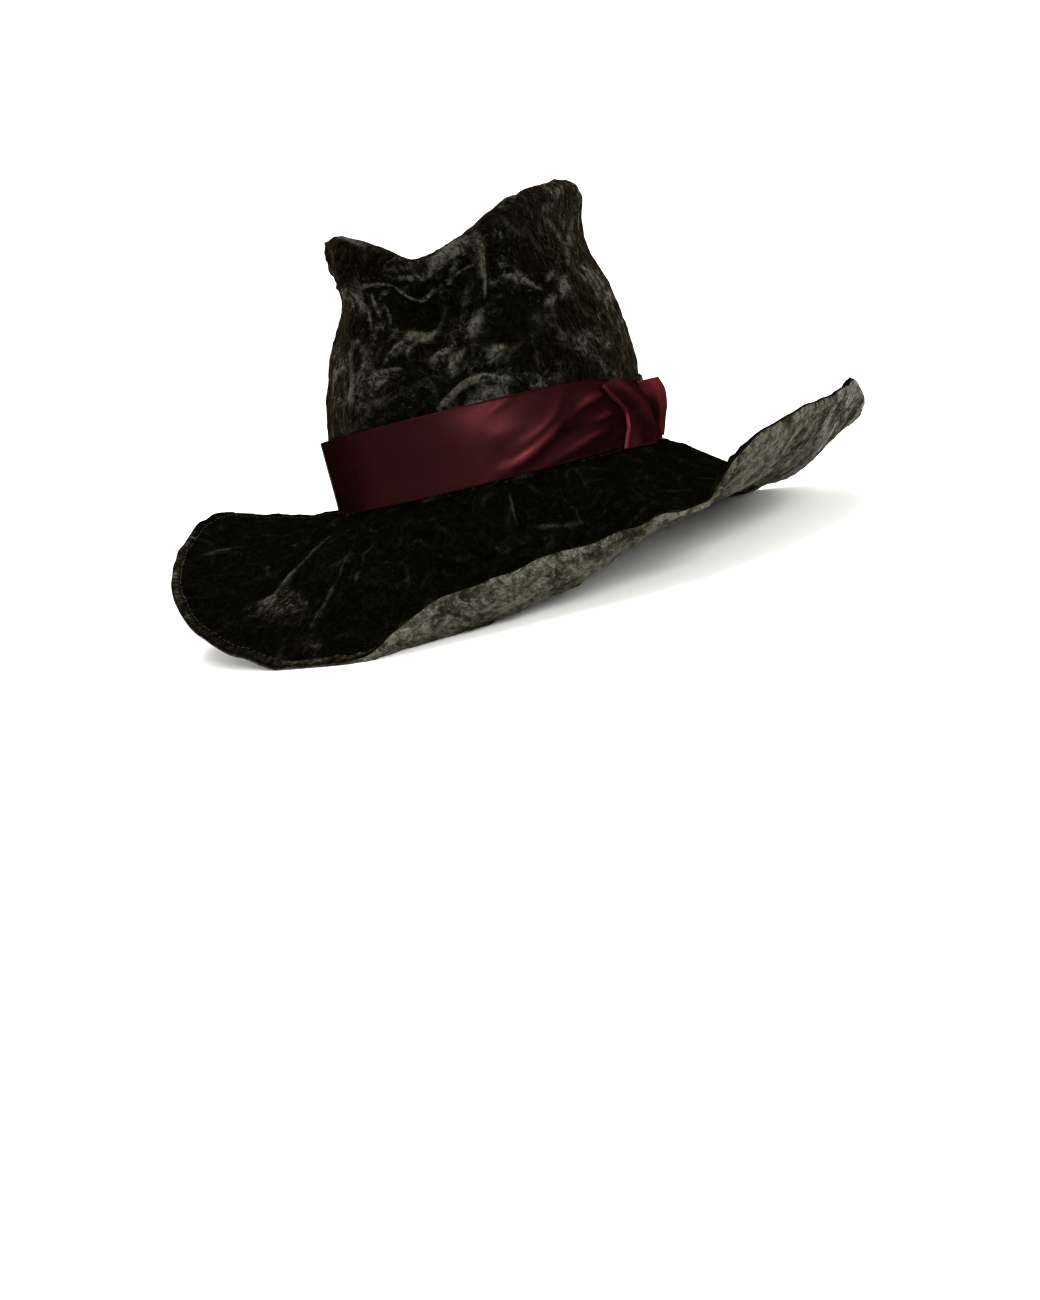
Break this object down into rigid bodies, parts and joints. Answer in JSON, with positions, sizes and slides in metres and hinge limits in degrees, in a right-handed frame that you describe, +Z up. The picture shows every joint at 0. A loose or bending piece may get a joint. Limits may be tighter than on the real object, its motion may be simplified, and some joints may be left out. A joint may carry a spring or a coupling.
{
  "type": "fedora hat",
  "caption": "Crushed-velvet fedora with a tall pinched soft crown, a wide wavy two-ply brim and a satin ribbon band with a flat bow.",
  "frame": {"origin": "On the surface that the hat stands on, under the middle of the brim and crown.", "axes": "+Z up, the front of the hat along -Y, the wearer's left along +X."},
  "size_m": [0.402, 0.3946, 0.2062],
  "materials": {
    "velvet_upper": "crushed velvet, near-black olive",
    "velvet_facing": "crushed velvet, grey-olive where the pile catches the light",
    "satin_ribbon": "maroon satin"
  },
  "bodies": {
    "root": {"crown": "velvet_upper", "brim_upper": "velvet_upper", "brim_facing": "velvet_facing", "ribbon_band": "satin_ribbon", "bow_wrap": "satin_ribbon", "bow_loop": "satin_ribbon", "bow_tail": "satin_ribbon"}
  },
  "joints": []
}
